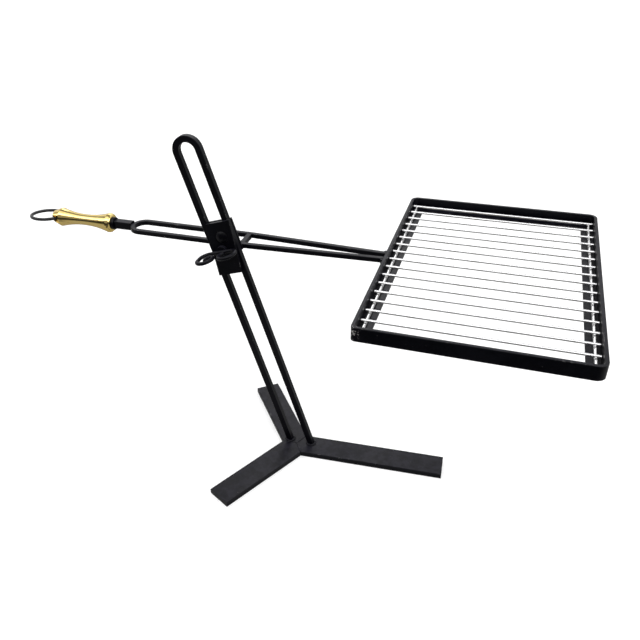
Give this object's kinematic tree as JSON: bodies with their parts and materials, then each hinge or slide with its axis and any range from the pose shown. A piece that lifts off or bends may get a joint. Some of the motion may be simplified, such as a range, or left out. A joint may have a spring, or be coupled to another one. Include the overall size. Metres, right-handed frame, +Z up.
{
  "type": "barbecue grill grate",
  "caption": "Black iron stand with a three-armed foot and a leaning looped post; a clamped carriage carries a sliding, tilting arm with a brass handle and a framed grill grate of chromed rods.",
  "frame": {"origin": "on the ground, midway between the two feet of the post, on the underside of the right foot bar", "axes": "+X along the arm from the post towards the grill, +Y away from the clamp screw, +Z up"},
  "size_m": [0.7493, 0.3565, 0.4487],
  "materials": {
    "black_paint": "satin black stove paint on mild steel",
    "dark_wire": "dark grey wire",
    "polished_brass": "polished, turned",
    "chrome_wire": "bright plated wire"
  },
  "bodies": {
    "stand": {"foot_right": "black_paint", "foot_back": "black_paint", "foot_left": "black_paint", "hub_weld": "black_paint", "post_loop": "black_paint", "leg_weld_right": "black_paint", "leg_weld_left": "black_paint"},
    "carriage": {"front_plate": "black_paint", "back_plate": "black_paint", "pivot_rivet": "black_paint", "rivet_washer": "black_paint", "clamp_nut": "black_paint"},
    "clamp": {"clamp_screw": "black_paint", "clamp_handle": "black_paint"},
    "swivel": {"swivel_plate": "black_paint", "arm_keeper": "black_paint"},
    "arm": {"arm_loop": "black_paint", "arm_spacer": "black_paint", "arm_shank": "black_paint", "ferrule": "black_paint", "brass_handle": "polished_brass", "frame_band": "black_paint", "corner_weld": "black_paint", "arm_weld_far": "black_paint", "arm_weld_near": "black_paint", "ledge_left": "black_paint", "ledge_right": "black_paint", "ledge_back": "black_paint", "ledge_front": "black_paint"},
    "ring": {"hanging_ring": "dark_wire"},
    "grid": {"cross_rod_left": "chrome_wire", "cross_rod_right": "chrome_wire", "grid_rod_1": "chrome_wire", "grid_rod_2": "chrome_wire", "grid_rod_3": "chrome_wire", "grid_rod_4": "chrome_wire", "grid_rod_5": "chrome_wire", "grid_rod_6": "chrome_wire", "grid_rod_7": "chrome_wire", "grid_rod_8": "chrome_wire", "grid_rod_9": "chrome_wire", "grid_rod_10": "chrome_wire", "grid_rod_11": "chrome_wire", "grid_rod_12": "chrome_wire", "grid_rod_13": "chrome_wire", "grid_rod_14": "chrome_wire", "grid_rod_15": "chrome_wire", "grid_rod_16": "chrome_wire", "grid_rod_17": "chrome_wire"}
  },
  "joints": [
    {"name": "carriage_slide", "type": "slide", "parent": "stand", "child": "carriage", "axis": [-0.2924, 0, 0.9563], "range_m": [-0.2, 0.085]},
    {"name": "clamp_turn", "type": "hinge", "parent": "carriage", "child": "clamp", "pos_m": [-0.0918, -0.0082, 0.30828], "axis": [0, -1, 0], "range_deg": [0, 180]},
    {"name": "arm_tilt", "type": "hinge", "parent": "carriage", "child": "swivel", "pos_m": [-0.09199, 0.0088, 0.326], "axis": [0, 1, 0], "range_deg": [-40, 20]},
    {"name": "arm_slide", "type": "slide", "parent": "swivel", "child": "arm", "axis": [1, 0, 0], "range_m": [-0.0165, 0.1065]},
    {"name": "ring_swing", "type": "hinge", "parent": "arm", "child": "ring", "pos_m": [-0.35718, 0.0285, 0.3075], "axis": [0, 1, 0], "range_deg": [-130, 130]},
    {"name": "grid_lift", "type": "slide", "parent": "arm", "child": "grid", "axis": [0, 0, 1], "range_m": [0, 0.25]}
  ]
}
